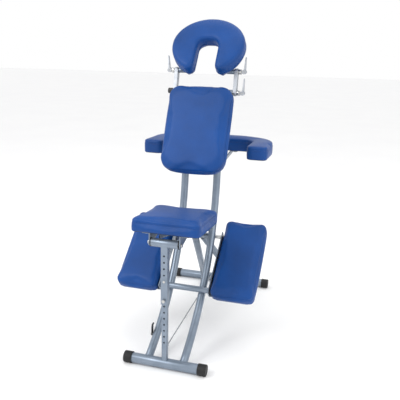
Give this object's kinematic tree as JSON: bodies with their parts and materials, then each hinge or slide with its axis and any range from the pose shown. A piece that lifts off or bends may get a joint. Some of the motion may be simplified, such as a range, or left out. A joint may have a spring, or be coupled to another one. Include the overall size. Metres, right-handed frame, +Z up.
{
  "type": "kneeling massage chair",
  "caption": "folding tubular massage chair with a sliding seat, knee pads, chest pad, U-shaped armrest and tilting face cradle",
  "frame": {"origin": "on the floor, on the centre plane, midway between the two foot tubes: the centre of the base of the bounding box", "axes": "+Z up along the chair's height, +Y the way the user faces, +X to the user's right, across the chair"},
  "size_m": [0.572, 0.874, 1.2643],
  "materials": {
    "frame_paint": "satin",
    "bright_steel": "satin",
    "cast_alloy": "satin",
    "black_rubber": "matte",
    "black_plastic": "matte",
    "upholstery": "satin",
    "board": "matte",
    "cable": "satin"
  },
  "bodies": {
    "main_frame": {"rear_foot_tube": "frame_paint", "rear_foot_cap_left": "black_rubber", "rear_foot_cap_right": "black_rubber", "rail_left": "frame_paint", "rail_right": "frame_paint", "knee_tube": "frame_paint", "seat_rest_bar": "frame_paint", "top_cross_tube": "frame_paint", "pivot_plates": "frame_paint", "pivot_axle": "bright_steel", "seat_post_inner": "frame_paint", "knee_angle_left": "frame_paint", "knee_angle_right": "frame_paint", "knee_board_left": "board", "knee_board_right": "board", "knee_cushion_left": "upholstery", "knee_cushion_right": "upholstery", "chest_board": "board", "chest_cushion": "upholstery", "chest_brackets": "frame_paint", "frame_pad_screws": "bright_steel", "armrest_brackets": "frame_paint", "lower_clamp_rod": "bright_steel", "lower_clamp_knob": "black_plastic", "latch_screw": "bright_steel", "limit_cable": "cable"},
    "front_frame": {"front_foot_tube": "frame_paint", "front_foot_cap_left": "black_rubber", "front_foot_cap_right": "black_rubber", "front_leg_left": "frame_paint", "front_leg_right": "frame_paint", "pivot_sleeve": "frame_paint"},
    "seat_post": {"seat_post_sleeve": "frame_paint", "seat_head_tube": "frame_paint", "head_tube_bushes": "black_plastic", "sleeve_rivet": "bright_steel"},
    "lock_pin": {"height_lock_pin": "bright_steel"},
    "seat": {"seat_hinge_bolt": "bright_steel", "seat_bracket_left": "frame_paint", "seat_bracket_right": "frame_paint", "seat_arms": "frame_paint", "seat_board": "board", "seat_cushion": "upholstery", "seat_screws": "bright_steel"},
    "armrest": {"armrest_arms": "frame_paint", "armrest_hinge_pin": "bright_steel", "armrest_board": "board", "armrest_cushion": "upholstery", "armrest_screws": "bright_steel"},
    "links": {"link_arm_left": "cast_alloy", "link_arm_right": "cast_alloy"},
    "head": {"cradle_plate": "frame_paint", "cradle_board": "board", "face_cushion": "upholstery", "cradle_screws": "bright_steel", "upper_clamp_bolts": "bright_steel"},
    "upper_lever_left": {"upper_cam_lever_left": "cast_alloy"},
    "upper_lever_right": {"upper_cam_lever_right": "cast_alloy"},
    "lower_lever": {"lower_cam_lever": "cast_alloy"},
    "latch": {"latch_hook": "black_plastic"}
  },
  "joints": [
    {"name": "frame_fold", "type": "hinge", "parent": "main_frame", "child": "front_frame", "pos_m": [0, -0.005, 0.389], "axis": [1, 0, 0], "range_deg": [-80, 0], "deforming": ["limit_cable"]},
    {"name": "seat_height", "type": "slide", "parent": "main_frame", "child": "seat_post", "axis": [0, 0, 1], "range_m": [-0.096, 0.048]},
    {"name": "lock_pin_pull", "type": "slide", "parent": "seat_post", "child": "lock_pin", "axis": [0, 1, 0], "range_m": [0, 0.005]},
    {"name": "seat_tilt", "type": "hinge", "parent": "seat_post", "child": "seat", "pos_m": [0, -0.4155, 0.489], "axis": [1, 0, 0], "range_deg": [-7.08, 14.17]},
    {"name": "armrest_fold", "type": "hinge", "parent": "main_frame", "child": "armrest", "pos_m": [0, 0.054, 0.688], "axis": [1, 0, 0], "range_deg": [-90, 0]},
    {"name": "links_tilt", "type": "hinge", "parent": "main_frame", "child": "links", "pos_m": [0, 0.04301, 0.979], "axis": [1, 0, 0], "range_deg": [-30, 8]},
    {"name": "head_tilt", "type": "hinge", "parent": "links", "child": "head", "pos_m": [0, 0.06201, 1.06], "axis": [1, 0, 0], "range_deg": [-30, 12]},
    {"name": "upper_left_cam", "type": "hinge", "parent": "head", "child": "upper_lever_left", "pos_m": [-0.155, 0.06201, 1.06], "axis": [0, -1, 0], "range_deg": [0, 90]},
    {"name": "upper_right_cam", "type": "hinge", "parent": "head", "child": "upper_lever_right", "pos_m": [0.155, 0.06201, 1.06], "axis": [0, 1, 0], "range_deg": [0, 90]},
    {"name": "lower_right_cam", "type": "hinge", "parent": "main_frame", "child": "lower_lever", "pos_m": [0.155, 0.04301, 0.979], "axis": [0, 1, 0], "range_deg": [0, 90]},
    {"name": "latch_turn", "type": "hinge", "parent": "main_frame", "child": "latch", "pos_m": [-0.086, -0.32154, 0.0775], "axis": [1, 0, 0], "range_deg": [-75, 75]}
  ],
  "couplings": [
    {"joint": "seat_tilt", "follows": "seat_height", "rad_per_m": -2.5759}
  ]
}
